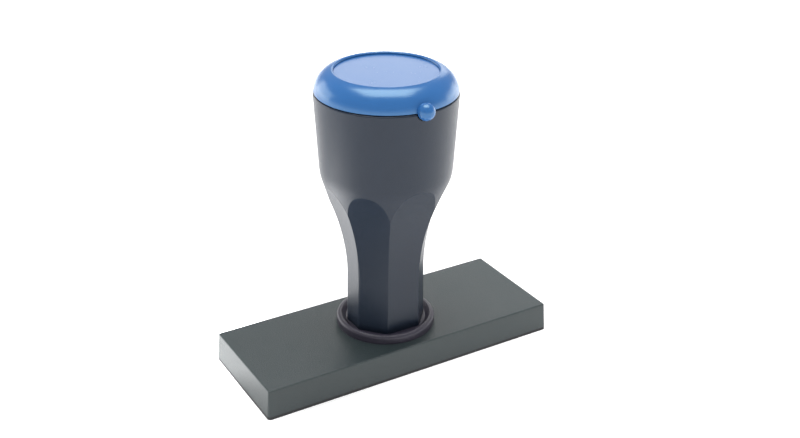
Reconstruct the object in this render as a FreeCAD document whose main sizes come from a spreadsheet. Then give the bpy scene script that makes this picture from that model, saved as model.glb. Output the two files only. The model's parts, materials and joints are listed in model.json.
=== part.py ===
import FreeCAD, Part
import math
import operator
import os

import Sketcher

# Pre-inked self-inking hand stamp: a pressing handle on a spring over a long base plate.
# Millimetres, +Z up.  The origin is the centre of the plate's underside, X runs along the
# plate and -Y is the front, where the bead on the cap points.

DRIVING_SIZES = [
    # plate and skirt
    ("plate_length", 82.0, "length of the base at the table"),
    ("plate_width", 31.0, "width of the base at the table"),
    ("plate_top", 7.7, "height of the plate's top face"),
    ("plate_draft", 0.6, "how far each side leans in from foot to top"),
    ("corner_round", 0.9, "radius of the upright corners"),
    ("edge_round", 0.35, "radius of the plate's top edge"),
    ("gasket_height", 0.8, "height of the rubber foot strip"),
    ("skirt_wall", 1.5, "wall of the skirt at the table"),
    ("ceiling", 5.7, "height of the plate's underside inside the skirt"),
    # well, hub and collar
    ("well_floor", 4.8, "underside of the spring well"),
    ("well_floor_top", 5.6, "top of the well's floor, where the spring stands"),
    ("well_outer", 12.7, "outer radius of the well"),
    ("well_bore", 11.3, "radius of the well that takes the collar"),
    ("hub_outer", 5.6, "outer radius of the post's guide tube"),
    ("hub_top", 14.0, "top of the guide tube"),
    ("collar_outer", 12.65, "radius of the collar's flange"),
    ("collar_edge", 9.1, "height where the flange's side turns into its rounded ridge"),
    ("collar_crown", 11.75, "radius of the ridge's top"),
    ("collar_top", 10.0, "top of the ridge"),
    ("crown_radius", 0.9, "radius of the ridge's outer side"),
    ("funnel_top", 11.45, "radius where the ridge turns down into the lead-in"),
    ("funnel_foot_radius", 10.3, "radius at the foot of the lead-in"),
    ("funnel_foot", 9.0, "height of the foot of the lead-in around the neck"),
    # neck and handle, outside
    ("neck_foot", 7.3, "lower end of the neck at rest"),
    ("end_flat", 9.60, "distance of the neck's two end flats from the axis"),
    ("side_flat", 8.97, "distance of the neck's front and back flats from the axis"),
    ("slant_flat", 9.30, "distance of the neck's four slanted flats from the axis"),
    ("neck_corner", 10.0, "radius of the neck across its turned-off edges, at the foot"),
    ("neck_narrowing", 0.15, "how much the neck narrows from its foot to its waist"),
    ("neck_straight_top", 10.0, "top of the neck's parallel guiding length"),
    ("waist", 22.5, "height where the flare begins"),
    ("flare_radius", 45.0, "radius of the outward flare"),
    ("flare_top", 36.5, "height where the flare runs straight on"),
    ("flare_top_radius", 12.05, "handle's radius there"),
    ("flare_end", 47.8, "height where the flare turns into the cup"),
    ("flare_end_radius", 15.6, "handle's radius there"),
    ("shoulder_radius", 14.6, "radius of the turn from flare to cup"),
    ("cup_foot", 52.0, "height where the cup's straight side begins"),
    ("cup_foot_radius", 16.4, "cup's radius there"),
    ("rim", 70.5, "height of the handle's rim"),
    ("rim_radius", 17.45, "outer radius at the rim"),
    ("rim_round", 0.35, "radius of the rim's outer edge"),
    ("cove_radius", 55.6, "radius of the eight hollowed flats"),
    ("cove_top", 50.6, "upper end of the hollows"),
    ("cove_rise", 7.62, "how far a hollowed flat moves outwards from the waist to there"),
    # handle, inside
    ("neck_bore", 7.4, "radius of the spring's room in the neck"),
    ("bulkhead", 29.0, "underside of the wall that the spring pushes"),
    ("bulkhead_top", 31.4, "top of that wall"),
    ("spindle_hole", 3.5, "radius of the spindle's hole in it"),
    ("nut_room", 7.2, "radius of the room around the nuts"),
    ("nut_room_top", 38.0, "top of the room around the nuts"),
    ("cup_bore", 14.4, "radius of the cup around the reservoir"),
    ("cup_bore_foot", 50.0, "height where the cup's bore begins"),
    ("mouth_bore", 15.4, "radius of the mouth that takes the cap"),
    ("mouth_foot", 65.0, "height of the mouth's step"),
    # die carrier and print die
    ("side_gap", 0.3, "gap between the skirt and the die carrier"),
    ("carrier_foot", 2.0, "lower edge of the die carrier"),
    ("carrier_wall", 1.2, "wall of the die carrier"),
    ("carrier_top", 5.4, "top of the die carrier"),
    ("chamber_roof", 4.5, "roof of the foam's room"),
    ("dish_floor", 3.7, "underside of the carrier's dish below the well"),
    ("dish_radius", 14.3, "radius of that dish"),
    ("post_radius", 4.42, "radius of the carrier's post"),
    ("post_gap", 0.08, "running gap of the post in its guide tube"),
    ("spindle_radius", 3.4, "radius of the threaded spindle above the post"),
    ("spindle_top", 41.6, "top of the spindle"),
    ("ink_bore", 2.5, "radius of the ink channel through the post"),
    ("die_length", 75.0, "length of the printing surface"),
    ("die_width", 25.0, "width of the printing surface"),
    ("die_face", 1.3, "height of the printing face at rest"),
    ("die_base", 2.0, "height where the relief meets the die's sheet"),
    ("die_back", 2.8, "back of the die's sheet"),
    ("retainer_foot", 1.6, "lower face of the die retainer"),
    ("retainer_lip", 1.8, "how far the retainer reaches over the die's edge"),
    ("relief_line", 1.2, "width of the relief's border line"),
    ("bar_width", 1.9, "width of the relief's bars"),
    ("bar_spacing", 5.1, "distance from one bar to the next"),
    ("wick_top", 47.6, "upper end of the ink wick"),
    # spring
    ("wire_radius", 0.4, "radius of the spring wire"),
    ("coil_radius", 6.6, "mean radius of the coils"),
    ("coil_pitch", 2.5, "pitch of the working coils"),
    # hardware above the bulkhead
    ("washer_height", 0.6, "thickness of both washers"),
    ("washer_gap", 0.2, "gap around the spring washer"),
    ("nut_flats", 5.0, "half of the nuts across their flats"),
    ("nut_height", 3.0, "thickness of the spindle nut"),
    ("lock_nut_height", 2.2, "thickness of the lock nut"),
    # reservoir
    ("spigot_foot", 38.4, "lower end of the reservoir's spigot"),
    ("spigot_outer", 5.6, "outer radius of the spigot"),
    ("spigot_top", 42.4, "height where the spigot meets the funnel"),
    ("reservoir_outer", 13.4, "outer radius of the reservoir"),
    ("reservoir_knee", 51.6, "height where the funnel meets the wall"),
    ("reservoir_rim", 61.6, "rim of the reservoir"),
    ("reservoir_wall", 1.2, "wall of the reservoir"),
    ("lid_gasket_height", 0.6, "thickness of the lid gasket"),
    ("lid_height", 1.4, "thickness of the reservoir's lid"),
    ("filler_hole", 3.0, "radius of the filler hole in the lid"),
    ("filler_rim", 4.4, "outer radius of the rim around the filler hole"),
    ("clamp_height", 1.4, "thickness of the clamp ring"),
    ("clamp_bore", 10.6, "inner radius of the clamp ring"),
    ("slot_radius", 1.1, "radius of the clamp ring's four spanner slots"),
    ("seal_lip", 1.0, "material of the spigot below the outlet seal"),
    ("seal_radius", 0.5, "radius of the outlet seal's cord"),
    # cap
    ("seam", 0.25, "shadow gap between the handle's rim and the cap"),
    ("cap_radius", 17.3, "outer radius of the cap at the seam"),
    ("cap_round", 5.6, "radius of the cap's rounded shoulder"),
    ("cap_top", 75.9, "height of the ridge around the cap's top"),
    ("ridge_radius", 13.0, "radius of that ridge"),
    ("recess_radius", 12.5, "radius of the recess in the cap's top"),
    ("recess_floor", 74.2, "floor of the recess"),
    ("disc_top", 75.3, "top of the disc in the recess"),
    ("ridge_drop", 0.35, "how far the ridge rounds down to the recess"),
    ("cap_roof", 72.9, "underside of the cap's roof"),
    ("skirt_outer", 15.3, "outer radius of the cap's skirt"),
    ("skirt_inner", 13.3, "inner radius of the cap's skirt"),
    ("skirt_foot", 65.6, "lower end of the cap's skirt"),
    ("ring_cord", 0.7, "radius of the cap O-ring's cord"),
    ("ring_height", 67.6, "height of the cap O-ring"),
    ("boss_outer", 4.2, "outer radius of the boss that holds the stopper"),
    ("boss_bore", 2.6, "bore of that boss"),
    ("boss_foot", 66.4, "lower end of the boss"),
    ("boss_depth", 3.0, "depth of its bore"),
    ("bead_radius", 2.1, "radius of the bead at the front"),
    ("bead_reach", 17.7, "distance of the bead from the axis"),
    ("bead_height", 71.0, "height of the bead"),
    ("stopper_radius", 2.94, "radius of the stopper in the filler hole"),
    ("stopper_chamfer", 0.4, "chamfer of the stopper's lower end"),
    ("stopper_flange", 1.0, "thickness of the stopper's flange"),
    ("stopper_inset", 0.3, "how far the flange stays inside the boss's outline"),
    ("stopper_slack", 0.2, "room above the stopper's neck"),
]

# The slanted flats face this many degrees from the X axis.
SLANT = 41.2
SLANT_COS = math.cos(math.radians(SLANT))
SLANT_SIN = math.sin(math.radians(SLANT))
# Fits inside one body, where a piece sits in its seat without touching its wall.
SEAT_GAP = 0.05
RUNNING_GAP = 0.10
# How far a cutting outline reaches past the solid.
OVERSHOOT = 1.0
# Lengths of the three bars on the die, as shares of its printing face.
BAR_SHARES = (0.78, 0.62, 0.46)

doc = FreeCAD.newDocument("self_inking_stamp")


class Size:
    """A dimension that carries its value and the sheet expression it is bound to."""

    def __init__(self, value, text):
        self.value = value
        self.text = text

    def __add__(self, other):
        return combine(self, "+", other)

    def __radd__(self, other):
        return combine(other, "+", self)

    def __sub__(self, other):
        return combine(self, "-", other)

    def __rsub__(self, other):
        return combine(other, "-", self)

    def __mul__(self, other):
        return combine(self, "*", other)

    def __rmul__(self, other):
        return combine(other, "*", self)

    def __truediv__(self, other):
        return combine(self, "/", other)

    def __neg__(self):
        return combine(0.0, "-", self)


OPERATORS = {"+": operator.add, "-": operator.sub, "*": operator.mul, "/": operator.truediv}


def as_size(quantity):
    """Turn a plain number into a Size; leave a Size as it is."""
    if isinstance(quantity, Size):
        return quantity
    return Size(float(quantity), f"({float(quantity):.9f})")


def combine(left, sign, right):
    """Join two dimensions, both as a value and as an expression."""
    first = as_size(left)
    second = as_size(right)
    value = OPERATORS[sign](first.value, second.value)
    return Size(value, f"({first.text} {sign} {second.text})")


class Sheet:
    """The spreadsheet of driving sizes; each alias is read as an attribute."""

    def __init__(self):
        page = doc.addObject("Spreadsheet::Sheet", "Sizes")
        for row, (alias, value, note) in enumerate(DRIVING_SIZES, start=1):
            page.set(f"A{row}", alias)
            page.set(f"B{row}", str(value))
            page.set(f"C{row}", note)
            page.setAlias(f"B{row}", alias)
            setattr(self, alias, Size(value, f"Sizes.{alias}"))


def bind(item, prop, quantity):
    """Bind one property of a document object to the sheet."""
    item.setExpression(prop, as_size(quantity).text)


# ---------------------------------------------------------------- sketching helpers

class Circle:
    """A circle in a sketch."""

    def __init__(self, radius, across=0.0, up=0.0):
        self.radius = as_size(radius)
        self.across = as_size(across)
        self.up = as_size(up)


def edge_between(start, end):
    """The line or arc from one corner to the next, and which of its ends comes first."""
    here = FreeCAD.Vector(as_size(start[0]).value, as_size(start[1]).value, 0)
    there = FreeCAD.Vector(as_size(end[0]).value, as_size(end[1]).value, 0)
    if len(end) == 2:
        return Part.LineSegment(here, there), 1
    bend = as_size(end[2]).value
    chord = there - here
    left = FreeCAD.Vector(-chord.y, chord.x, 0).normalize()
    height = math.sqrt(max(bend * bend - chord.Length ** 2 / 4, 0.0))
    centre = (here + there) * 0.5 + left * math.copysign(height, bend)
    first, second = (here, there) if bend > 0 else (there, here)
    turn_from = math.atan2(first.y - centre.y, first.x - centre.x)
    turn_to = math.atan2(second.y - centre.y, second.x - centre.x)
    if turn_to < turn_from:
        turn_to += 2 * math.pi
    ring = Part.Circle(centre, FreeCAD.Vector(0, 0, 1), abs(bend))
    return Part.ArcOfCircle(ring, turn_from, turn_to), 1 if bend > 0 else 2


def place_point(page, edge, end, corner):
    """Fix one end of an edge at a corner's place."""
    for kind, axis, quantity in (("DistanceX", -2, corner[0]), ("DistanceY", -1, corner[1])):
        place = as_size(quantity)
        if place.value == 0.0:
            page.addConstraint(Sketcher.Constraint("PointOnObject", edge, end, axis))
            continue
        index = page.addConstraint(Sketcher.Constraint(kind, -1, 1, edge, end, place.value))
        page.setExpression(f"Constraints[{index}]", place.text)


def draw_loop(page, corners):
    """Draw a closed outline; a corner's third value is the radius of the arc that ends at it,
    positive when the arc turns left."""
    edges = []
    for start, end in zip(corners, corners[1:] + corners[:1]):
        shape, first_end = edge_between(start, end)
        edges.append((page.addGeometry(shape), first_end))
    for index, (edge, first_end) in enumerate(edges):
        before, before_first = edges[index - 1]
        page.addConstraint(
            Sketcher.Constraint("Coincident", before, 3 - before_first, edge, first_end))
    for corner, (edge, first_end) in zip(corners, edges):
        place_point(page, edge, first_end, corner)
    for corner, (edge, first_end) in zip(corners[1:] + corners[:1], edges):
        if len(corner) == 3:
            bend = as_size(corner[2])
            if bend.value < 0:
                bend = -bend
            index = page.addConstraint(Sketcher.Constraint("Radius", edge, bend.value))
            page.setExpression(f"Constraints[{index}]", bend.text)


def draw_circle(page, circle):
    """Draw one circle and fix its centre and radius."""
    centre = FreeCAD.Vector(circle.across.value, circle.up.value, 0)
    ring = Part.Circle(centre, FreeCAD.Vector(0, 0, 1), circle.radius.value)
    edge = page.addGeometry(ring)
    place_point(page, edge, 3, (circle.across, circle.up))
    index = page.addConstraint(Sketcher.Constraint("Radius", edge, circle.radius.value))
    page.setExpression(f"Constraints[{index}]", circle.radius.text)


def sketch(body, name, plane_role, *loops, height=None, turned_by=None):
    """A sketch on one of the body's own planes, lifted to a height or turned about Z."""
    page = body.newObject("Sketcher::SketchObject", f"{body.Name}_{name}")
    plane = next(item for item in body.Origin.OriginFeatures if item.Role == plane_role)
    page.AttachmentSupport = [(plane, "")]
    page.MapMode = "FlatFace"
    if height is not None:
        bind(page, "AttachmentOffset.Base.z", height)
    if turned_by is not None:
        page.AttachmentOffset = FreeCAD.Placement(
            FreeCAD.Vector(), FreeCAD.Rotation(FreeCAD.Vector(0, 1, 0), turned_by))
    for loop in loops:
        if isinstance(loop, Circle):
            draw_circle(page, loop)
        else:
            draw_loop(page, loop)
    return page


def rectangle(length, width, radius=None, across=0.0, up=0.0):
    """A rectangle about a point, with rounded corners if a radius is given."""
    right = across + length / 2
    left = across - length / 2
    back = up + width / 2
    front = up - width / 2
    if radius is None:
        return [(left, front), (right, front), (right, back), (left, back)]
    return [
        (right - radius, front), (right, front + radius, radius),
        (right, back - radius), (right - radius, back, radius),
        (left + radius, back), (left, back - radius, radius),
        (left, front + radius), (left + radius, front, radius),
    ]


def polygon(sides, apothem):
    """A regular polygon with flats facing the sketch's axes."""
    reach = apothem / math.cos(math.pi / sides)
    corners = []
    for index in range(sides):
        turn = (2 * index + 1) * math.pi / sides
        corners.append((reach * math.cos(turn), reach * math.sin(turn)))
    return corners


def neck_octagon(s, offset):
    """The neck's eight-sided outline, moved outwards by an offset."""
    end = s.end_flat + offset
    side = s.side_flat + offset
    slant = s.slant_flat + offset
    up = (slant - end * SLANT_COS) / SLANT_SIN
    across = (slant - side * SLANT_SIN) / SLANT_COS
    return [
        (end, -up), (end, up), (across, side), (-across, side),
        (-end, up), (-end, -up), (-across, -side), (across, -side),
    ]


# ---------------------------------------------------------------- feature helpers

def new_body(name):
    """An empty PartDesign body whose label is its node's name."""
    body = doc.addObject("PartDesign::Body", name)
    body.Label = name
    return body


def feature(body, kind, name, page):
    """A PartDesign feature of a body, made from a sketch."""
    item = body.newObject(f"PartDesign::{kind}", f"{body.Name}_{name}")
    item.Profile = page
    return item


def pad(body, name, page, length, taper=None):
    """Extrude a sketch upwards."""
    item = feature(body, "Pad", name, page)
    bind(item, "Length", length)
    if taper is not None:
        bind(item, "TaperAngle", taper)
    doc.recompute()
    return item


def cut(body, name, page, depth, upwards=False, both_ways=False):
    """Cut a sketch down into the solid, or upwards, and make sure that it removed something."""
    before = body.Shape.Volume
    item = feature(body, "Pocket", name, page)
    item.Reversed = upwards
    if both_ways:
        item.SideType = "Symmetric"
    bind(item, "Length", depth)
    doc.recompute()
    require_less(body, before, name)
    return item


def turn(body, name, page, removes=False):
    """Turn a sketch about the upright axis, as material or as a groove."""
    before = 0.0 if not removes else body.Shape.Volume
    item = feature(body, "Groove" if removes else "Revolution", name, page)
    item.ReferenceAxis = (page, ["V_Axis"])
    item.Angle = 360
    doc.recompute()
    if removes:
        require_less(body, before, name)
    return item


def require_less(body, before, name):
    """Stop if a cut left the body's volume as it was."""
    if body.Shape.Volume >= before - 1e-6:
        raise RuntimeError(f"{body.Label}: {name} cut nothing")


def round_edges(body, name, source, radius, level):
    """Round the edges of a feature that lie flat at one height."""
    names = []
    for index, edge in enumerate(source.Shape.Edges, start=1):
        box = edge.BoundBox
        if abs(box.ZMin - level.value) < 1e-4 and abs(box.ZMax - level.value) < 1e-4:
            names.append(f"Edge{index}")
    item = body.newObject("PartDesign::Fillet", f"{body.Name}_{name}")
    item.Base = (source, names)
    bind(item, "Radius", radius)
    doc.recompute()
    return item


def turned(name, corners):
    """A body of one turned section, given as an outline in radius and height."""
    body = new_body(name)
    turn(body, "turned", sketch(body, "section", "XZ_Plane", corners))
    return body


def tube(inner, outer, low, high):
    """The section of a plain ring."""
    return [(inner, low), (outer, low), (outer, high), (inner, high)]


def o_ring(name, radius, cord, height):
    """A rubber ring of round cord."""
    ring = doc.addObject("Part::Torus", name)
    ring.Label = name
    bind(ring, "Radius1", radius)
    bind(ring, "Radius2", cord)
    bind(ring, "Placement.Base.z", height)
    return ring


# ---------------------------------------------------------------- the base and its frame

def make_base_frame(s):
    """Skirted plate with a well for the collar and a guide tube for the post."""
    body = new_body("base_frame")
    outline = rectangle(s.plate_length, s.plate_width, s.corner_round)
    lean = Size(-math.degrees(math.atan2(s.plate_draft.value, s.plate_top.value)),
                f"(-atan2({s.plate_draft.text}; {s.plate_top.text}))")
    page = sketch(body, "plate", "XY_Plane", outline, height=s.gasket_height)
    plate = pad(body, "plate_block", page, s.plate_top - s.gasket_height, taper=lean)
    round_edges(body, "top_round", plate, s.edge_round, s.plate_top)
    inside = rectangle(s.plate_length - 2 * s.skirt_wall, s.plate_width - 2 * s.skirt_wall)
    page = sketch(body, "inside", "XY_Plane", inside, height=s.gasket_height)
    cut(body, "skirt_room", page, s.ceiling - s.gasket_height, upwards=True)
    page = sketch(body, "well", "XY_Plane", Circle(s.well_outer), height=s.well_floor)
    pad(body, "well_cup", page, s.plate_top - s.edge_round - s.well_floor)
    page = sketch(body, "well_hole", "XY_Plane", Circle(s.well_bore), height=s.plate_top)
    cut(body, "well_bore", page, s.plate_top - s.well_floor_top)
    page = sketch(body, "hub", "XY_Plane", Circle(s.hub_outer), height=s.well_floor)
    pad(body, "guide_tube", page, s.hub_top - s.well_floor)
    page = sketch(body, "hub_hole", "XY_Plane", Circle(s.post_radius + s.post_gap), height=s.hub_top)
    cut(body, "guide_bore", page, s.hub_top - s.well_floor)
    return body


def make_guide_collar(s):
    """Flanged bush with a lead-in and an octagonal hole, where the neck slides without turning."""
    spigot = s.well_bore - SEAT_GAP
    body = turned("guide_collar", [
        (0.0, s.well_floor_top), (spigot, s.well_floor_top), (spigot, s.plate_top),
        (s.collar_outer, s.plate_top), (s.collar_outer, s.collar_edge),
        (s.collar_crown, s.collar_top, s.crown_radius), (s.funnel_top, s.collar_top),
        (s.funnel_foot_radius, s.funnel_foot), (0.0, s.funnel_foot),
    ])
    hole = neck_octagon(s, RUNNING_GAP)
    page = sketch(body, "hole", "XY_Plane", hole, height=s.funnel_foot)
    cut(body, "octagon", page, s.funnel_foot - s.well_floor_top)
    return body


def make_foot_gasket(s):
    """Rubber strip that runs around under the skirt."""
    body = new_body("foot_gasket")
    outer = rectangle(s.plate_length, s.plate_width, s.corner_round)
    inner = rectangle(s.plate_length - 2 * s.skirt_wall, s.plate_width - 2 * s.skirt_wall)
    page = sketch(body, "strip", "XY_Plane", outer, inner)
    pad(body, "strip_block", page, s.gasket_height)
    return body


def make_return_spring(s):
    """Compression spring between the well's floor and the washer under the bulkhead."""
    body = new_body("return_spring")
    foot = s.well_floor_top + s.wire_radius
    page = sketch(body, "wire", "XZ_Plane", Circle(s.wire_radius, s.coil_radius, foot))
    coil = feature(body, "AdditiveHelix", "coil", page)
    coil.ReferenceAxis = (page, ["V_Axis"])
    coil.Mode = "pitch-height-angle"
    bind(coil, "Pitch", s.coil_pitch)
    bind(coil, "Height", s.bulkhead - s.washer_height - s.wire_radius - foot)
    doc.recompute()
    return body


# ---------------------------------------------------------------- the pressing handle

def hollow_flats(s, body, name, apothem, facing):
    """Cut one pair of opposite hollowed flats along the neck and the flare."""
    beyond = s.rim_radius + OVERSHOOT
    below = s.neck_foot - OVERSHOOT
    waist = apothem - s.neck_narrowing
    flat = [
        (apothem, below), (beyond, below), (beyond, s.cove_top),
        (waist + s.cove_rise, s.cove_top), (waist, s.waist, s.cove_radius),
        (apothem, s.neck_straight_top),
    ]
    page = sketch(body, name, "XZ_Plane", flat, turned_by=facing)
    hollow = cut(body, f"{name}_cut", page, 2 * s.rim_radius, both_ways=True)
    pair = body.newObject("PartDesign::PolarPattern", f"{body.Name}_{name}_pair")
    pair.Originals = [hollow]
    pair.Axis = (page, ["V_Axis"])
    pair.Angle = 360
    pair.Occurrences = 2
    body.Tip = pair
    doc.recompute()


def make_handle_body(s):
    """One moulding: eight-sided neck, flare with arched hollow flats, and round cup."""
    body = new_body("handle_body")
    outside = [
        (0.0, s.neck_foot), (s.neck_corner, s.neck_foot), (s.neck_corner, s.neck_straight_top),
        (s.neck_corner - s.neck_narrowing, s.waist),
        (s.flare_top_radius, s.flare_top, -s.flare_radius),
        (s.flare_end_radius, s.flare_end),
        (s.cup_foot_radius, s.cup_foot, s.shoulder_radius),
        (s.rim_radius, s.rim - s.rim_round), (s.rim_radius - s.rim_round, s.rim, s.rim_round),
        (0.0, s.rim),
    ]
    turn(body, "outside", sketch(body, "outline", "XZ_Plane", outside))
    hollow_flats(s, body, "end_flats", s.end_flat, 0.0)
    hollow_flats(s, body, "side_flats", s.side_flat, 90.0)
    hollow_flats(s, body, "slant_flats", s.slant_flat, SLANT)
    hollow_flats(s, body, "other_slant_flats", s.slant_flat, -SLANT)

    inside = [
        (0.0, s.bulkhead_top), (s.nut_room, s.bulkhead_top), (s.nut_room, s.nut_room_top),
        (s.cup_bore, s.cup_bore_foot), (s.cup_bore, s.mouth_foot), (s.mouth_bore, s.mouth_foot),
        (s.mouth_bore, s.rim + OVERSHOOT), (0.0, s.rim + OVERSHOOT),
    ]
    turn(body, "cup_room", sketch(body, "cup_outline", "XZ_Plane", inside), removes=True)
    page = sketch(body, "neck_hole", "XY_Plane", Circle(s.neck_bore), height=s.neck_foot)
    cut(body, "spring_room", page, s.bulkhead - s.neck_foot, upwards=True)
    page = sketch(body, "spindle", "XY_Plane", Circle(s.spindle_hole), height=s.bulkhead)
    cut(body, "spindle_hole", page, s.bulkhead_top - s.bulkhead, upwards=True)

    before = body.Shape.Volume
    notch = body.newObject("PartDesign::SubtractiveSphere", "handle_body_bead_notch")
    bind(notch, "Radius", s.bead_radius + s.seam)
    bind(notch, "Placement.Base.y", -s.bead_reach)
    bind(notch, "Placement.Base.z", s.bead_height)
    doc.recompute()
    require_less(body, before, "bead notch")
    return body


def make_die_carrier(s):
    """Tray for the foam and die, with a hollow post that ends in a threaded spindle."""
    body = new_body("die_carrier")
    length = s.plate_length - 2 * (s.skirt_wall + s.side_gap)
    width = s.plate_width - 2 * (s.skirt_wall + s.side_gap)
    page = sketch(body, "tray", "XY_Plane", rectangle(length, width), height=s.carrier_foot)
    pad(body, "tray_block", page, s.carrier_top - s.carrier_foot)
    room = rectangle(length - 2 * s.carrier_wall, width - 2 * s.carrier_wall)
    page = sketch(body, "low_room", "XY_Plane", room, height=s.carrier_foot)
    cut(body, "foam_room", page, s.dish_floor - s.carrier_foot, upwards=True)
    island = s.dish_radius + s.chamber_roof - s.dish_floor
    for side, name in ((1, "right"), (-1, "left")):
        reach = length / 2 - s.carrier_wall
        wing = rectangle(reach - island, width - 2 * s.carrier_wall, across=side * (reach + island) / 2)
        page = sketch(body, f"{name}_wing", "XY_Plane", wing, height=s.dish_floor)
        cut(body, f"{name}_room", page, s.chamber_roof - s.dish_floor, upwards=True)
    page = sketch(body, "dish", "XY_Plane", Circle(s.dish_radius), height=s.carrier_top)
    cut(body, "dish_cut", page, s.carrier_top - s.chamber_roof)
    page = sketch(body, "post", "XY_Plane", Circle(s.post_radius), height=s.dish_floor)
    pad(body, "post_pad", page, s.bulkhead - s.dish_floor)
    page = sketch(body, "thread", "XY_Plane", Circle(s.spindle_radius), height=s.bulkhead)
    pad(body, "spindle", page, s.spindle_top - s.bulkhead)
    page = sketch(body, "channel", "XY_Plane", Circle(s.ink_bore), height=s.spindle_top)
    cut(body, "ink_channel", page, s.spindle_top - s.dish_floor)
    return body


def make_ink_foam(s):
    """Ink-soaked foam block behind the die, thinner under the carrier's dish."""
    body = new_body("ink_foam")
    slack = 2 * (s.skirt_wall + s.side_gap + s.carrier_wall + s.side_gap)
    length = s.plate_length - slack
    width = s.plate_width - slack
    block = rectangle(length, width)
    page = sketch(body, "block", "XY_Plane", block, height=s.die_back)
    pad(body, "block_pad", page, s.chamber_roof - RUNNING_GAP - s.die_back)
    dish = rectangle(2 * (s.dish_radius + s.chamber_roof - s.dish_floor) + s.side_gap, width + OVERSHOOT)
    page = sketch(body, "dish", "XY_Plane", dish, height=s.chamber_roof)
    cut(body, "dish_cut", page, s.chamber_roof - s.dish_floor + RUNNING_GAP)
    return body


def make_print_die(s):
    """Rubber die: a sheet with a raised border and plain raised bars as its print."""
    body = new_body("print_die")
    page = sketch(body, "sheet", "XY_Plane", rectangle(s.die_length, s.die_width), height=s.die_base)
    pad(body, "sheet_pad", page, s.die_back - s.die_base)
    face_length = s.die_length - 2 * s.retainer_lip
    face_width = s.die_width - 2 * s.retainer_lip
    loops = [
        rectangle(face_length, face_width),
        rectangle(face_length - 2 * s.relief_line, face_width - 2 * s.relief_line),
    ]
    for index, share in enumerate(BAR_SHARES):
        loops.append(rectangle(face_length * share, s.bar_width, up=s.bar_spacing * (index - 1)))
    page = sketch(body, "relief", "XY_Plane", *loops, height=s.die_face)
    pad(body, "relief_pad", page, s.die_base - s.die_face)
    return body


def make_die_retainer(s):
    """Thin bezel that holds the die's edge to the carrier."""
    body = new_body("die_retainer")
    length = s.plate_length - 2 * (s.skirt_wall + s.side_gap)
    width = s.plate_width - 2 * (s.skirt_wall + s.side_gap)
    window = rectangle(s.die_length - 2 * (s.retainer_lip - s.side_gap),
                       s.die_width - 2 * (s.retainer_lip - s.side_gap))
    page = sketch(body, "bezel", "XY_Plane", rectangle(length, width), window,
                  height=s.retainer_foot)
    pad(body, "bezel_pad", page, s.die_base - s.retainer_foot)
    return body


def make_ink_wick(s):
    """Felt rod that carries ink from the reservoir down to the foam."""
    wick = doc.addObject("Part::Cylinder", "ink_wick")
    wick.Label = "ink_wick"
    bind(wick, "Radius", s.ink_bore - SEAT_GAP)
    bind(wick, "Height", s.wick_top - s.dish_floor)
    bind(wick, "Placement.Base.z", s.dish_floor)
    return wick


def make_nut(s, name, foot, height):
    """Hexagon nut on the spindle."""
    body = new_body(name)
    bore = Circle(s.spindle_radius + SEAT_GAP)
    page = sketch(body, "hexagon", "XY_Plane", polygon(6, s.nut_flats), bore, height=foot)
    pad(body, "hexagon_pad", page, height)
    return body


def make_spindle_hardware(s):
    """Washers and nuts that clamp the carrier's spindle to the bulkhead."""
    turned("spring_washer", tube(s.post_radius + SEAT_GAP, s.neck_bore - s.washer_gap,
                                 s.bulkhead - s.washer_height, s.bulkhead))
    turned("spindle_washer", tube(s.spindle_radius + SEAT_GAP, s.nut_room - 2 * s.washer_gap,
                                  s.bulkhead_top, s.bulkhead_top + s.washer_height))
    nut_foot = s.bulkhead_top + s.washer_height
    make_nut(s, "spindle_nut", nut_foot, s.nut_height)
    make_nut(s, "spindle_lock_nut", nut_foot + s.nut_height, s.lock_nut_height)


# ---------------------------------------------------------------- the ink reservoir

def make_ink_reservoir(s):
    """Funnel-bottomed cup that plugs onto the spindle's tip."""
    wall = s.reservoir_wall
    bore = s.spindle_radius + SEAT_GAP
    seat = s.spindle_radius + 2 * s.seal_radius + SEAT_GAP
    seat_foot = s.spigot_foot + s.seal_lip
    groove_foot = seat_foot - SEAT_GAP
    groove_top = seat_foot + 2 * s.seal_radius + SEAT_GAP
    turned("ink_reservoir", [
        (bore, s.spigot_foot), (s.spigot_outer, s.spigot_foot), (s.spigot_outer, s.spigot_top),
        (s.reservoir_outer, s.reservoir_knee), (s.reservoir_outer, s.reservoir_rim),
        (s.reservoir_outer - wall, s.reservoir_rim), (s.reservoir_outer - wall, s.reservoir_knee),
        (bore, s.spigot_top), (bore, groove_top), (seat, groove_top), (seat, groove_foot),
        (bore, groove_foot),
    ])
    o_ring("outlet_seal", s.spindle_radius + s.seal_radius + SEAT_GAP / 2, s.seal_radius,
           seat_foot + s.seal_radius)


def make_reservoir_lid(s):
    """Lid with a rimmed filler hole, and the gasket under it."""
    foot = s.reservoir_rim + s.lid_gasket_height
    top = foot + s.lid_height
    turned("lid_gasket", tube(s.reservoir_outer - s.reservoir_wall, s.reservoir_outer,
                              s.reservoir_rim, foot))
    turned("reservoir_lid", [
        (s.filler_hole, foot), (s.reservoir_outer, foot), (s.reservoir_outer, top),
        (s.filler_rim, top), (s.filler_rim, top + s.washer_height),
        (s.filler_hole, top + s.washer_height),
    ])
    body = turned("clamp_ring", tube(s.clamp_bore, s.cup_bore - SEAT_GAP,
                                     top, top + s.clamp_height))
    for index, (across, up) in enumerate(((1, 0), (0, 1), (-1, 0), (0, -1))):
        slot = Circle(s.slot_radius, across * s.clamp_bore, up * s.clamp_bore)
        page = sketch(body, f"slot_{index}", "XY_Plane", slot, height=top + s.clamp_height)
        cut(body, f"spanner_slot_{index}", page, s.clamp_height)


# ---------------------------------------------------------------- the cap

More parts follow.
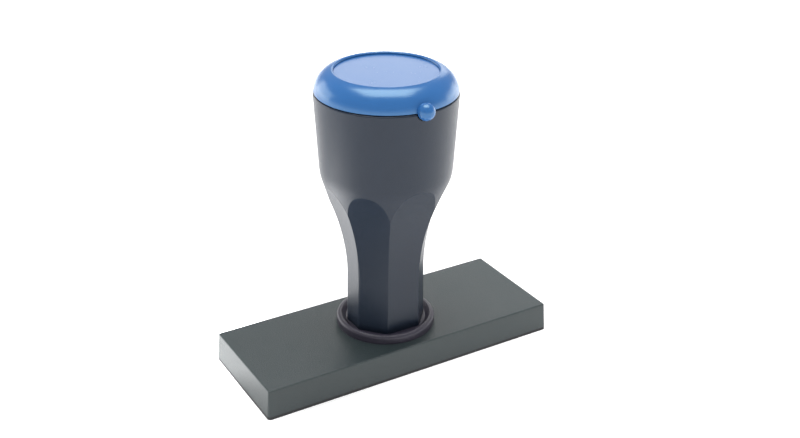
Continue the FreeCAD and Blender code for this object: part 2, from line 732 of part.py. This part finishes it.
def make_cap_shell(s):
    """Domed cap with a skirt that plugs into the cup, and a bead that marks the front."""
    groove_low = s.ring_height - s.ring_cord - SEAT_GAP
    groove_high = s.ring_height + s.ring_cord + SEAT_GAP
    groove = s.skirt_outer - 2 * s.ring_cord + SEAT_GAP
    seam_top = s.rim + s.seam
    boss_top = s.boss_foot + s.boss_depth
    body = turned("cap_shell", [
        (s.skirt_inner, s.skirt_foot), (s.skirt_outer, s.skirt_foot), (s.skirt_outer, groove_low),
        (groove, groove_low), (groove, groove_high), (s.skirt_outer, groove_high),
        (s.skirt_outer, seam_top), (s.cap_radius, seam_top),
        (s.ridge_radius, s.cap_top, s.cap_round),
        (s.recess_radius, s.cap_top - s.ridge_drop, s.ridge_radius - s.recess_radius),
        (s.recess_radius, s.recess_floor), (0.0, s.recess_floor), (0.0, boss_top),
        (s.boss_bore, boss_top), (s.boss_bore, s.boss_foot), (s.boss_outer, s.boss_foot),
        (s.boss_outer, s.cap_roof), (s.skirt_inner, s.cap_roof),
    ])
    bead = body.newObject("PartDesign::AdditiveSphere", "cap_shell_bead")
    bind(bead, "Radius", s.bead_radius)
    bind(bead, "Placement.Base.y", -s.bead_reach)
    bind(bead, "Placement.Base.z", s.bead_height)
    doc.recompute()
    return body


def make_cap_fittings(s):
    """The disc in the cap's top, its O-ring and the stopper that closes the filler hole."""
    turned("cap_disc", [
        (0.0, s.recess_floor), (s.recess_radius - SEAT_GAP, s.recess_floor),
        (s.recess_radius - SEAT_GAP, s.disc_top), (0.0, s.disc_top),
    ])
    ring_radius = s.skirt_outer + SEAT_GAP - s.ring_cord
    o_ring("cap_o_ring", ring_radius, s.ring_cord, s.ring_height)
    lid_foot = s.reservoir_rim + s.lid_gasket_height
    foot = lid_foot - s.stopper_chamfer
    flange = s.boss_outer - s.stopper_inset
    flange_foot = s.boss_foot - s.stopper_flange
    neck = s.boss_bore - SEAT_GAP
    neck_top = s.boss_foot + s.boss_depth - s.stopper_slack
    turned("filler_stopper", [
        (0.0, foot), (s.stopper_radius - s.stopper_chamfer, foot), (s.stopper_radius, lid_foot),
        (s.stopper_radius, flange_foot), (flange, flange_foot), (flange, s.boss_foot),
        (neck, s.boss_foot), (neck, neck_top), (0.0, neck_top),
    ])


# ---------------------------------------------------------------- checking and writing

def node_objects():
    """The sub-parts: every body, and every primitive that is a part by itself."""
    kinds = ("PartDesign::Body", "Part::Torus", "Part::Cylinder")
    return [item for item in doc.Objects if item.TypeId in kinds]


def check_document(parts):
    """Stop if any object failed or any sub-part's shape is unusable."""
    for item in doc.Objects:
        if "Invalid" in item.State or "Error" in item.State:
            raise RuntimeError(f"{item.Name} failed: {item.State}")
    for item in parts:
        if item.Shape.isNull() or not item.Shape.isValid():
            raise RuntimeError(f"{item.Label} has no valid shape")


def write_parts(parts):
    """Write each sub-part to its own file."""
    os.makedirs("parts", exist_ok=True)
    for item in parts:
        item.Shape.exportStep(f"parts/{item.Label}.step")
        print(f"{item.Label}: {item.Shape.Volume:.0f} mm3, {len(item.Shape.Solids)} solid")


def main():
    """Build every sub-part, check them all, then write them."""
    sizes = Sheet()
    doc.recompute()
    make_base_frame(sizes)
    make_guide_collar(sizes)
    make_foot_gasket(sizes)
    make_return_spring(sizes)
    make_handle_body(sizes)
    make_die_carrier(sizes)
    make_ink_foam(sizes)
    make_print_die(sizes)
    make_die_retainer(sizes)
    make_ink_wick(sizes)
    make_spindle_hardware(sizes)
    make_ink_reservoir(sizes)
    make_reservoir_lid(sizes)
    make_cap_shell(sizes)
    make_cap_fittings(sizes)
    doc.recompute()
    parts = node_objects()
    check_document(parts)
    write_parts(parts)


main()
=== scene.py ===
import json
import math

import bmesh
import bpy
from bpy.props import FloatProperty, FloatVectorProperty, IntProperty, PointerProperty
from mathutils import Matrix, Vector


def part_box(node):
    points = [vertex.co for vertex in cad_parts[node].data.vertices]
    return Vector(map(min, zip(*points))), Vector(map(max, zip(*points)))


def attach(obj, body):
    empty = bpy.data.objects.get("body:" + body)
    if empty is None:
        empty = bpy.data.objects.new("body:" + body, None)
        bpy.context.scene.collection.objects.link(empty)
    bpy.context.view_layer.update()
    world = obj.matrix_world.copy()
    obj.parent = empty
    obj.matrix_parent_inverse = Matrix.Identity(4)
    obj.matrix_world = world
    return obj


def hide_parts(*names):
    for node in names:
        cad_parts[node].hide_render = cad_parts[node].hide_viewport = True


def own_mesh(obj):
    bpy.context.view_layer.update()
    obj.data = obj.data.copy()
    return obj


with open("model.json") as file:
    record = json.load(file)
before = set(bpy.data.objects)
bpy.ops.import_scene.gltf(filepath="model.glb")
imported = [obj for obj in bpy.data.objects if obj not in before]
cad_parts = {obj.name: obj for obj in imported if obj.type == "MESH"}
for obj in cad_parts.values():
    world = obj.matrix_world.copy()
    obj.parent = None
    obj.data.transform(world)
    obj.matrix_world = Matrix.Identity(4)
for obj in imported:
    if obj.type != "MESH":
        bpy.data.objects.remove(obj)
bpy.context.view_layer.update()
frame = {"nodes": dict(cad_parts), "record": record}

bl_info = {
    "name": "Self inking stamp",
    "version": (1, 0, 0),
    "blender": (4, 5, 0),
    "location": "View3D > Sidebar > Stamp",
    "description": "Finishes and soft parts of a pre-inked hand stamp, and its studio",
    "category": "Object",
}

UP = Vector((0.0, 0.0, 1.0))


# ---------------------------------------------------------------- settings

class StampColours(bpy.types.PropertyGroup):
    """Colours of the mouldings, the rubber and the ink."""

    grey: FloatVectorProperty(
        name="Handle grey", description="Colour of the handle",
        default=(0.010, 0.017, 0.031), size=3, min=0.0, max=1.0, subtype="COLOR")
    collar: FloatVectorProperty(
        name="Collar grey", description="Colour of the collar around the neck",
        default=(0.030, 0.027, 0.042), size=3, min=0.0, max=1.0, subtype="COLOR")
    base_grey: FloatVectorProperty(
        name="Base grey", description="Colour of the base plate",
        default=(0.0165, 0.0272, 0.0298), size=3, min=0.0, max=1.0, subtype="COLOR")
    blue: FloatVectorProperty(
        name="Blue plastic", description="Colour of the cap, which shows the ink's colour",
        default=(0.022, 0.108, 0.310), size=3, min=0.0, max=1.0, subtype="COLOR")
    natural: FloatVectorProperty(
        name="Natural plastic", description="Colour of the unpainted inner mouldings",
        default=(0.62, 0.61, 0.57), size=3, min=0.0, max=1.0, subtype="COLOR")
    die: FloatVectorProperty(
        name="Die rubber", description="Colour of the engraved rubber die",
        default=(0.30, 0.055, 0.040), size=3, min=0.0, max=1.0, subtype="COLOR")
    ink: FloatVectorProperty(
        name="Ink", description="Colour of the ink in the foam and the wick",
        default=(0.006, 0.016, 0.110), size=3, min=0.0, max=1.0, subtype="COLOR")


class StampParts(bpy.types.PropertyGroup):
    """Sizes of the pieces that are modelled here."""

    wire: FloatProperty(
        name="Spring wire", description="Diameter of the spring's wire",
        default=0.0008, min=0.0003, max=0.0015, subtype="DISTANCE", unit="LENGTH")
    turns: IntProperty(
        name="Free coils", description="Working coils between the closed ends",
        default=8, min=3, max=12)
    shares: FloatVectorProperty(
        name="Bars", description="Lengths of the die's bars, as shares of its face",
        default=(0.78, 0.62, 0.46), size=3, min=0.1, max=0.9)


class StampStudio(bpy.types.PropertyGroup):
    """Camera and lights."""

    azimuth: FloatProperty(
        name="Azimuth", description="Camera's turn about the handle",
        default=math.radians(-31.254), subtype="ANGLE", unit="ROTATION")
    elevation: FloatProperty(
        name="Elevation", description="Camera's height angle",
        default=math.radians(26.383), subtype="ANGLE", unit="ROTATION")
    roll: FloatProperty(
        name="Roll", description="Camera's turn about its own line of sight",
        default=math.radians(0.606), subtype="ANGLE", unit="ROTATION")
    distance: FloatProperty(
        name="Distance", description="From the camera to the point it looks at",
        default=0.28272, min=0.1, max=2.0, subtype="DISTANCE", unit="LENGTH")
    lens: FloatProperty(
        name="Lens", description="Focal length in millimetres", default=50.99, min=20.0, max=150.0)
    aim: FloatVectorProperty(
        name="Aim", description="Point that the camera looks at",
        default=(0.00301, -0.00183, 0.0366), size=3, subtype="XYZ", unit="LENGTH")
    ambient: FloatProperty(
        name="Ambient light", description="Brightness of the white tent around the object",
        default=0.45, min=0.0, max=5.0)


# ---------------------------------------------------------------- shader maths

class Wire:
    """A shader socket; arithmetic on it adds Math nodes."""

    def __init__(self, tree, socket):
        self.tree = tree
        self.socket = socket

    def _join(self, operation, left, right):
        node = self.tree.nodes.new("ShaderNodeMath")
        node.operation = operation
        for index, value in enumerate((left, right)):
            if isinstance(value, Wire):
                self.tree.links.new(value.socket, node.inputs[index])
            else:
                node.inputs[index].default_value = value
        return Wire(self.tree, node.outputs[0])

    def __add__(self, other):
        return self._join("ADD", self, other)

    __radd__ = __add__

    def __mul__(self, other):
        return self._join("MULTIPLY", self, other)

    __rmul__ = __mul__

    def __sub__(self, other):
        return self._join("SUBTRACT", self, other)

    def __rsub__(self, other):
        return self._join("SUBTRACT", other, self)


class Finish:
    """A node material under construction."""

    def __init__(self, name, **uniform):
        self.material = bpy.data.materials.new(name)
        self.material.use_nodes = True
        self.tree = self.material.node_tree
        self.shader = self.tree.nodes["Principled BSDF"]
        for label, value in uniform.items():
            self.shader.inputs[label.replace("_", " ")].default_value = value
        self.place = self.add("TexCoord", output="Object")

    def add(self, kind, settings=None, output=0, **inputs):
        """Add one node, set it up, feed its inputs and return one output."""
        node = self.tree.nodes.new(f"ShaderNode{kind}")
        for key, value in (settings or {}).items():
            if key == "stops":
                self._set_stops(node.color_ramp, value)
            else:
                setattr(node, key, value)
        for label, value in inputs.items():
            socket = node.inputs[int(label[1:])] if label[1:].isdigit() else node.inputs[label]
            if isinstance(value, Wire):
                self.tree.links.new(value.socket, socket)
            else:
                socket.default_value = value
        return Wire(self.tree, node.outputs[output])

    @staticmethod
    def _set_stops(ramp, stops):
        """Give a colour ramp its stops."""
        while len(ramp.elements) > 1:
            ramp.elements.remove(ramp.elements[-1])
        ramp.elements[0].position = stops[0][0]
        ramp.elements[0].color = stops[0][1]
        for position, colour in stops[1:]:
            ramp.elements.new(position).color = colour

    def noise(self, scale, detail=3.0, roughness=0.5):
        """Soft noise on the piece's own coordinates, scale in waves per metre."""
        return self.add("TexNoise", output="Fac", Vector=self.place, Scale=scale,
                        Detail=detail, Roughness=roughness)

    def drawn_noise(self, scale, detail, stretch):
        """Noise that is drawn out along one direction, for turned lines and fibres."""
        along = self.add("Mapping", output="Vector", Vector=self.place, Scale=stretch)
        return self.add("TexNoise", output="Fac", Vector=along, Scale=scale, Detail=detail)

    def cells(self, scale):
        """Distance to the nearest cell point, for grain and pores."""
        return self.add("TexVoronoi", output="Distance", Vector=self.place, Scale=scale)

    def tint(self, colour, share, other):
        """Mix one flat colour towards another by a varying share."""
        return self.add("Mix", {"data_type": "RGBA"}, output=2, _0=share,
                        _6=(*colour, 1.0), _7=(*other, 1.0))

    def bump(self, height, depth):
        """Feed a height pattern to the normal; depth in metres."""
        self.feed("Normal", self.add("Bump", output="Normal", Height=height, Distance=depth))

    def feed(self, label, wire):
        """Link a varying value to one of the shader's own sockets."""
        self.tree.links.new(wire.socket, self.shader.inputs[label])


class Sky(Finish):
    """The light from all around, under construction."""

    def __init__(self, name):
        self.world = bpy.data.worlds.new(name)
        self.world.use_nodes = True
        self.tree = self.world.node_tree
        self.shader = self.tree.nodes["Background"]
        self.place = self.add("TexCoord", output="Generated")


def shade(colour, factor):
    """A colour made lighter or darker."""
    return tuple(min(1.0, part * factor) for part in colour)


# ---------------------------------------------------------------- finishes

def satin_moulding(name, colour, roughness, grain, depth, ior=1.42):
    """Spark-eroded satin plastic: fine pitted grain and a faint cloudiness."""
    finish = Finish(name, IOR=ior)
    cloud = finish.noise(90.0, detail=4.0)
    finish.feed("Base Color", finish.tint(colour, cloud, shade(colour, 1.35)))
    finish.feed("Roughness", cloud * 0.10 + (roughness - 0.05))
    pits = finish.cells(grain) * 0.6 + finish.noise(grain * 1.7, detail=2.0) * 0.4
    finish.bump(pits, depth)
    return finish.material


def gloss_moulding(name, colour, roughness, ior, gleam):
    """Polished plastic with a tinted gleam and the faint ripple of a moulded skin."""
    finish = Finish(name, IOR=ior, Specular_Tint=(*gleam, 1.0))
    cloud = finish.noise(60.0, detail=3.0)
    finish.feed("Base Color", finish.tint(colour, cloud, shade(colour, 1.12)))
    wear = finish.noise(420.0, detail=4.0, roughness=0.6)
    finish.feed("Roughness", wear * 0.08 + (roughness - 0.04))
    finish.bump(finish.noise(150.0, detail=0.0), 0.00002)
    return finish.material


def rubber(name, colour, roughness):
    """Matt rubber with a fine bloom."""
    finish = Finish(name, IOR=1.45)
    bloom = finish.noise(700.0, detail=5.0, roughness=0.65)
    finish.feed("Base Color", finish.tint(colour, bloom, shade(colour, 1.8)))
    finish.feed("Roughness", bloom * 0.20 + (roughness - 0.10))
    finish.bump(finish.noise(5200.0, detail=3.0), 0.00002)
    return finish.material


def bright_steel(name, colour, roughness, stretch):
    """Zinc-plated steel: fine drawn or turned lines and a cloudy plating."""
    finish = Finish(name, Metallic=1.0)
    streak = finish.drawn_noise(2600.0, 3.0, stretch)
    cloud = finish.noise(420.0, detail=4.0)
    finish.feed("Base Color", finish.tint(shade(colour, 0.82), cloud, colour))
    finish.feed("Roughness", streak * 0.18 + cloud * 0.10 + (roughness - 0.10))
    finish.bump(streak, 0.000006)
    return finish.material


def open_foam(name, colour):
    """Open-cell foam, wet with ink: round open cells, with painted shade that makes each one darker
    in its depth.
    """
    finish = Finish(name, IOR=1.38)
    pores_and_painted_shade = finish.cells(1900.0)
    # Base colour: painted shade, darkest down in each pore's hollow and lighter on the cell walls.
    finish.feed("Base Color", finish.tint(shade(colour, 0.35), pores_and_painted_shade, shade(colour, 2.2)))
    finish.feed("Roughness", 0.62 - pores_and_painted_shade * 0.35)
    finish.bump(pores_and_painted_shade * 0.8 + finish.noise(6000.0) * 0.2, 0.00018)
    return finish.material


def pressed_felt(name, colour):
    """Felt: fine matted fibres along the rod."""
    finish = Finish(name, IOR=1.4, Sheen_Weight=0.4)
    fibre = finish.drawn_noise(6500.0, 5.0, (1.0, 1.0, 0.22))
    finish.feed("Base Color", finish.tint(shade(colour, 0.6), fibre, shade(colour, 2.0)))
    finish.feed("Roughness", fibre * 0.2 + 0.7)
    finish.bump(fibre, 0.00008)
    return finish.material


def milky_moulding(name, colour):
    """Natural polypropylene, slightly translucent, with flow marks."""
    finish = Finish(name, IOR=1.49, Subsurface_Weight=0.35, Subsurface_Scale=0.002)
    flow = finish.noise(150.0, detail=3.0)
    finish.feed("Base Color", finish.tint(colour, flow, shade(colour, 0.88)))
    finish.feed("Roughness", flow * 0.12 + 0.30)
    finish.bump(finish.noise(2600.0, detail=2.0), 0.00001)
    return finish.material


FINISHES = {}


def make_finishes(colours):
    """All the finishes of the stamp, by the record's slot names."""
    grey, base_grey, collar, blue, natural, die, ink = (
        tuple(getattr(colours, name))
        for name in ("grey", "base_grey", "collar", "blue", "natural", "die", "ink"))
    table = {
        "base_plastic": (satin_moulding, base_grey, 0.42, 5200.0, 0.00006, 1.58),
        "handle_plastic": (satin_moulding, grey, 0.32, 6400.0, 0.00003),
        "collar_plastic": (satin_moulding, collar, 0.38, 6400.0, 0.00003, 1.5),
        "carrier_plastic": (satin_moulding, natural, 0.40, 5200.0, 0.00003),
        "cap_plastic": (gloss_moulding, blue, 0.24, 1.6, (0.72, 1.0, 1.0)),
        "disc_plastic": (gloss_moulding, blue, 0.26, 1.5, (0.84, 0.94, 0.86)),
        "gasket_rubber": (rubber, (0.016, 0.017, 0.019), 0.62),
        "seal_rubber": (rubber, (0.010, 0.010, 0.011), 0.40),
        "stopper_rubber": (rubber, (0.020, 0.020, 0.022), 0.50),
        "die_rubber": (rubber, die, 0.60),
        "ink_foam": (open_foam, ink),
        "wick_felt": (pressed_felt, ink),
        "spring_steel": (bright_steel, (0.62, 0.62, 0.64), 0.24, (1.0, 1.0, 1.0)),
        "zinc_steel": (bright_steel, (0.56, 0.56, 0.58), 0.32, (1.0, 1.0, 0.1)),
        "reservoir_plastic": (milky_moulding, (0.74, 0.75, 0.74)),
    }
    for slot, (make, *recipe) in table.items():
        FINISHES[slot] = make(slot, *recipe)


def dress(piece, slot):
    """Give a piece, or a CAD node, the finish of one of the record's slots."""
    piece.data.materials.clear()
    piece.data.materials.append(FINISHES[slot])


def dress_cad_nodes():
    """Give every CAD node the finish of its own slot."""
    for entry in frame["record"]["subparts"]:
        dress(frame["nodes"][entry["node"]], entry["material_slot"])


# ---------------------------------------------------------------- modelling helpers

def choose(*pieces):
    """Select some pieces and nothing else; the first becomes the active one."""
    bpy.ops.object.select_all(action="DESELECT")
    for piece in pieces:
        piece.select_set(True)
    bpy.context.view_layer.objects.active = pieces[0]


def shape(piece):
    """Open one piece alone for shaping in edit mode."""
    choose(piece)
    bpy.ops.object.mode_set(mode="EDIT")


def pick_faces(piece, wanted):
    """Select the faces that pass a test and nothing else; call inside edit mode."""
    bpy.ops.mesh.select_all(action="DESELECT")
    mesh = bmesh.from_edit_mesh(piece.data)
    for face in mesh.faces:
        if wanted(face):
            face.select_set(True)
    bmesh.update_edit_mesh(piece.data)


def finish_shape():
    """Leave edit mode."""
    bpy.ops.object.mode_set(mode="OBJECT")


def settle(piece, name):
    """Name a new primitive and put its place, turn and scale into its mesh."""
    piece.name = name
    bpy.ops.object.transform_apply(location=True, rotation=True, scale=True)
    return piece


def add_block(name, low, high):
    """A block between two corners."""
    bpy.ops.object.select_all(action="DESELECT")
    middle = [(a + b) / 2 for a, b in zip(low, high)]
    bpy.ops.mesh.primitive_cube_add(size=1.0, location=middle)
    block = bpy.context.active_object
    block.scale = [b - a for a, b in zip(low, high)]
    return settle(block, name)


def apply_modifier(piece, kind, **settings):
    """Add a modifier to a piece, set it and apply it."""
    choose(piece)
    bpy.ops.object.modifier_add(type=kind)
    modifier = piece.modifiers[-1]
    for key, value in settings.items():
        setattr(modifier, key, value)
    bpy.ops.object.modifier_apply(modifier=modifier.name)


def soften(piece, width, segments=3):
    """Round a piece's sharp edges by a width in metres."""
    apply_modifier(piece, "BEVEL", width=width, segments=segments, limit_method="ANGLE")


def merge(name, pieces):
    """Join pieces into one."""
    choose(*pieces)
    bpy.ops.object.join()
    pieces[0].name = name
    return pieces[0]


def hand_over(piece, body, slot, node, smooth):
    """Shade a finished piece, dress it, and let it stand for a CAD node on its body."""
    choose(piece)
    bpy.ops.object.shade_smooth_by_angle(angle=math.radians(smooth))
    dress(piece, slot)
    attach(piece, body)
    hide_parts(node)


# ---------------------------------------------------------------- spring

WIRE_SIDES = 14
COIL_STEPS = 40


def add_coils(name, radius, wire, foot, turns, pitch):
    """A run of whole coils, all at one pitch, that starts at the right of the axis."""
    bpy.ops.object.select_all(action="DESELECT")
    bpy.ops.mesh.primitive_circle_add(vertices=WIRE_SIDES, radius=wire,
                                      location=(radius, 0.0, foot),
                                      rotation=(math.pi / 2, 0.0, 0.0))
    coils = settle(bpy.context.active_object, name)
    apply_modifier(coils, "SCREW", axis="Z", angle=2 * math.pi, screw_offset=pitch,
                   iterations=turns, steps=COIL_STEPS, render_steps=COIL_STEPS)
    return coils


def make_spring(settings):
    """Compression spring with a closed and ground coil at each end."""
    low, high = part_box("return_spring")
    wire = settings.wire / 2
    radius = high[0] - wire
    ground_share = 0.6
    sunk = wire * ground_share
    closed = settings.wire
    free = (high[2] - low[2]) - 2 * sunk - 2 * closed
    first = low[2] + sunk
    runs = [
        add_coils("coil_foot", radius, wire, first, 1, closed),
        add_coils("coil_run", radius, wire, first + closed, settings.turns, free / settings.turns),
        add_coils("coil_head", radius, wire, high[2] - sunk - closed, 1, closed),
    ]
    spring = merge("return_coil", runs)
    shape(spring)
    bpy.ops.mesh.select_all(action="SELECT")
    bpy.ops.mesh.remove_doubles(threshold=0.00001)
    bpy.ops.mesh.fill_holes(sides=0)
    for level, clears in ((low[2], "clear_inner"), (high[2], "clear_outer")):
        bpy.ops.mesh.select_all(action="SELECT")
        bpy.ops.mesh.bisect(plane_co=(0.0, 0.0, level), plane_no=(0.0, 0.0, 1.0),
                            use_fill=True, **{clears: True})
    bpy.ops.mesh.select_all(action="SELECT")
    bpy.ops.mesh.normals_make_consistent(inside=False)
    finish_shape()
    hand_over(spring, "base", "spring_steel", "return_spring", 40.0)
    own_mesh(spring)


# ---------------------------------------------------------------- foam and die

def make_foam():
    """Ink-soaked foam pad, stepped down under the carrier's dish, with soft edges."""
    low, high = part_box("ink_foam")
    step = 0.00082
    half_dish = 0.0152
    half_slope = 0.0156
    edge_round = 0.00022
    foam = add_block("foam_pad", low, high)
    shape(foam)
    for place in (-half_slope, -half_dish, half_dish, half_slope):
        bpy.ops.mesh.select_all(action="SELECT")
        bpy.ops.mesh.bisect(plane_co=(place, 0.0, 0.0), plane_no=(1.0, 0.0, 0.0))
    pick_faces(foam, lambda face: face.normal.z > 0.9
               and abs(face.calc_center_median().x) < half_dish / 2)
    bpy.ops.transform.translate(value=(0.0, 0.0, -step))
    bpy.ops.mesh.select_all(action="SELECT")
    bpy.ops.mesh.subdivide(number_cuts=3)
    finish_shape()
    soften(foam, edge_round, 2)
    hand_over(foam, "plunger", "ink_foam", "ink_foam", 60.0)


RELIEF_ROUND = 0.00006


def add_bar(name, low, high):
    """One raised bar of the relief, with moulded shoulders."""
    shoulder = 0.00018
    bar = add_block(name, (low[0], low[1], low[2] + shoulder), high)
    shape(bar)
    pick_faces(bar, lambda face: face.normal.z < -0.9)
    bpy.ops.mesh.inset(thickness=shoulder)
    bpy.ops.transform.translate(value=(0.0, 0.0, -shoulder))
    finish_shape()
    soften(bar, RELIEF_ROUND, 2)
    return bar


def make_die(settings):
    """Rubber die: a sheet with a raised border and plain bars for its print."""
    low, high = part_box("print_die")
    back = 0.0008
    base = high[2] - back
    margin = 0.0018
    line = 0.0012
    draft = 0.00015
    sheet_round = 0.00018
    into_sheet = 0.0001
    floor_proud = 0.00005
    bar_spacing = 0.0051
    half_bar = 0.00095
    sheet = add_block("die_sheet", (low[0], low[1], base), high)
    soften(sheet, sheet_round)
    border = add_block("die_border", (low[0] + margin, low[1] + margin, low[2]),
                       (high[0] - margin, high[1] - margin, base + into_sheet))
    shape(border)
    pick_faces(border, lambda face: face.normal.z < -0.9)
    bpy.ops.mesh.inset(thickness=line)
    bpy.ops.mesh.inset(thickness=draft)
    bpy.ops.transform.translate(value=(0.0, 0.0, base - low[2] - floor_proud))
    finish_shape()
    soften(border, RELIEF_ROUND, 2)
    pieces = [sheet, border]
    length = high[0] - low[0] - 2 * margin
    for index, share in enumerate(settings.shares):
        reach = length * share / 2
        up = bar_spacing * (index - 1)
        pieces.append(add_bar(f"die_bar_{index}", (-reach, up - half_bar, low[2]),
                              (reach, up + half_bar, base)))
    die = merge("rubber_die", pieces)
    hand_over(die, "plunger", "die_rubber", "print_die", 40.0)


# ---------------------------------------------------------------- studio

# Softboxes: name, place, width, height and brightness. All of them face the handle.
HANDLE_MIDDLE = Vector((0.0, 0.0, 0.04))
SOFTBOXES = (
    ("overhead_box", (0.02, 0.04, 0.78), 0.64, 0.52, 6.5),
    ("left_back_box", (-0.46, 0.76, 0.22), 0.70, 0.44, 2.6),
    ("right_back_box", (0.52, 0.70, 0.36), 0.50, 0.34, 1.95),
    ("right_box", (0.70, 0.05, 0.11), 0.44, 0.22, 2.0),
)


def add_softbox(name, place, width, height, radiance):
    """A rectangular softbox of a given brightness that faces the handle."""
    lamp = bpy.data.lights.new(name, "AREA")
    lamp.shape = "RECTANGLE"
    lamp.size = width
    lamp.size_y = height
    lamp.energy = radiance * math.pi * width * height
    holder = bpy.data.objects.new(name, lamp)
    bpy.context.scene.collection.objects.link(holder)
    holder.location = place
    facing = HANDLE_MIDDLE - Vector(place)
    holder.rotation_euler = facing.to_track_quat("-Z", "Y").to_euler()


def add_camera(studio):
    """The camera, placed by its angles about the point that it looks at."""
    back = Vector((math.sin(studio.azimuth) * math.cos(studio.elevation),
                   -math.cos(studio.azimuth) * math.cos(studio.elevation),
                   math.sin(studio.elevation)))
    right = UP.cross(back).normalized()
    turn = Matrix.Rotation(studio.roll, 3, back)
    axes = Matrix((turn @ right, turn @ back.cross(right), back)).transposed()
    data = bpy.data.cameras.new("studio_camera")
    data.lens = studio.lens
    data.sensor_width = 36.0
    data.clip_start = 0.01
    camera = bpy.data.objects.new("studio_camera", data)
    bpy.context.scene.collection.objects.link(camera)
    camera.matrix_world = (Matrix.Translation(Vector(studio.aim) + back * studio.distance)
                           @ axes.to_4x4())
    bpy.context.scene.camera = camera


# Glow of the floor: stops of distance, as a share of GLOW_REACH, from its brightest spot
# behind the plate's left end.
GLOW_CENTRE = (-0.062, 0.036, 0.0)
GLOW_REACH = 0.4
FLOOR_GLOW = ((0.0, 1.0), (0.08, 1.0), (0.105, 0.22), (0.155, 0.07), (0.20, 0.13), (0.50, 0.14),
              (1.0, 0.45))
# Glow of the tent: stops of height above the horizon.
SKY_GLOW = ((0.0, 2.4), (0.05, 2.4), (0.12, 1.0))


def grey_stops(stops):
    """Colour ramp stops from positions and grey levels."""
    return [(position, (level, level, level, 1.0)) for position, level in stops]


def add_floor():
    """A large pale floor that glows more near the plate's left end."""
    bpy.ops.object.select_all(action="DESELECT")
    bpy.ops.mesh.primitive_plane_add(size=6.0)
    floor = bpy.context.active_object
    floor.name = "floor"
    finish = Finish("floor_paper", Roughness=0.9, Specular_IOR_Level=0.0, Emission_Strength=3.0)
    paper = finish.noise(3.0, detail=2.0)
    finish.feed("Base Color", finish.tint((0.90, 0.90, 0.90), paper, (0.92, 0.92, 0.92)))
    away = finish.add("VectorMath", {"operation": "DISTANCE"}, output="Value",
                      _0=finish.place, _1=GLOW_CENTRE)
    finish.feed("Emission Color", finish.add(
        "ValToRGB", {"stops": grey_stops(FLOOR_GLOW)}, output="Color", Fac=away * (1 / GLOW_REACH)))
    floor.data.materials.append(finish.material)


def add_world(strength):
    """White light from all around, brightest in a low band behind the floor's edge."""
    sky = Sky("tent")
    height = sky.add("SeparateXYZ", output="Z", Vector=sky.place)
    sky.feed("Color", sky.add("ValToRGB", {"stops": grey_stops(SKY_GLOW)},
                              output="Color", Fac=height))
    sky.shader.inputs["Strength"].default_value = strength
    bpy.context.scene.world = sky.world


# ---------------------------------------------------------------- operators

class STAMP_OT_finishes(bpy.types.Operator):
    """Make every finish and put it on the frame's own parts"""

    bl_idname = "stamp.finishes"
    bl_label = "Finishes"

    def execute(self, context):
        make_finishes(context.scene.stamp_colours)
        dress_cad_nodes()
        return {"FINISHED"}


class STAMP_OT_spring(bpy.types.Operator):
    """Model the return spring with closed and ground ends"""

    bl_idname = "stamp.spring"
    bl_label = "Return spring"

    def execute(self, context):
        make_spring(context.scene.stamp_parts)
        return {"FINISHED"}


class STAMP_OT_die(bpy.types.Operator):
    """Model the foam pad and the rubber die"""

    bl_idname = "stamp.die"
    bl_label = "Foam and die"

    def execute(self, context):
        make_foam()
        make_die(context.scene.stamp_parts)
        return {"FINISHED"}


class STAMP_OT_studio(bpy.types.Operator):
    """Set up the floor, the lights and the camera"""

    bl_idname = "stamp.studio"
    bl_label = "Studio"

    def execute(self, context):
        studio = context.scene.stamp_studio
        add_floor()
        add_world(studio.ambient)
        for softbox in SOFTBOXES:
            add_softbox(*softbox)
        add_camera(studio)
        context.scene.view_settings.view_transform = "Standard"
        return {"FINISHED"}


class STAMP_PT_panel(bpy.types.Panel):
    """Lists the stamp's operators"""

    bl_idname = "STAMP_PT_panel"
    bl_label = "Self inking stamp"
    bl_space_type = "VIEW_3D"
    bl_region_type = "UI"
    bl_category = "Stamp"

    def draw(self, context):
        for operator in PIECE_OPERATORS:
            self.layout.operator(operator.bl_idname)
        for settings, names in ((context.scene.stamp_colours, ("grey", "base_grey", "blue")),
                                (context.scene.stamp_parts, ("wire", "turns")),
                                (context.scene.stamp_studio, ("ambient",))):
            for name in names:
                self.layout.prop(settings, name)


PIECE_OPERATORS = (STAMP_OT_finishes, STAMP_OT_spring, STAMP_OT_die, STAMP_OT_studio)
CLASSES = (StampColours, StampParts, StampStudio, *PIECE_OPERATORS, STAMP_PT_panel)


def register():
    """Register the classes and the scene's settings."""
    for item in CLASSES:
        bpy.utils.register_class(item)
    bpy.types.Scene.stamp_colours = PointerProperty(type=StampColours)
    bpy.types.Scene.stamp_parts = PointerProperty(type=StampParts)
    bpy.types.Scene.stamp_studio = PointerProperty(type=StampStudio)


def unregister():
    """Take the settings and the classes away again."""
    del bpy.types.Scene.stamp_studio
    del bpy.types.Scene.stamp_parts
    del bpy.types.Scene.stamp_colours
    for item in reversed(CLASSES):
        bpy.utils.unregister_class(item)


def main():
    """Finish the stamp and light it."""
    register()
    bpy.ops.stamp.finishes()
    bpy.ops.stamp.spring()
    bpy.ops.stamp.die()
    bpy.ops.stamp.studio()


if __name__ == "__main__":
    main()
